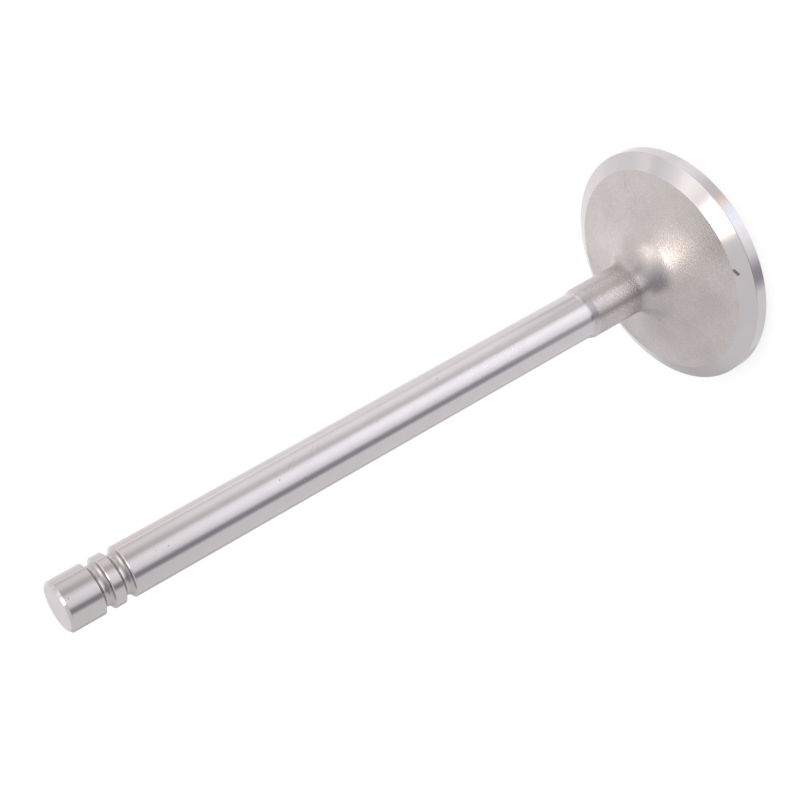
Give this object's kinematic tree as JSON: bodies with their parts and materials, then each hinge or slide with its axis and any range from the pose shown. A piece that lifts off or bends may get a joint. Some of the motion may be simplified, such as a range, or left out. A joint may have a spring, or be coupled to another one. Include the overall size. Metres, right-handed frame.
{
  "type": "engine valve",
  "caption": "Poppet valve with a flared round head, bevelled seat, ground straight stem and round keeper grooves near the tip.",
  "frame": {"origin": "centre of the combustion face, which the valve stands on", "axes": "+Z along the stem, from the head towards the tip; the valve is round about Z"},
  "size_m": [0.0406, 0.0406, 0.118],
  "materials": {
    "valve_steel": "ground stem, seat and tip; blasted neck and underside"
  },
  "bodies": {
    "root": {"valve": "valve_steel"}
  },
  "joints": []
}
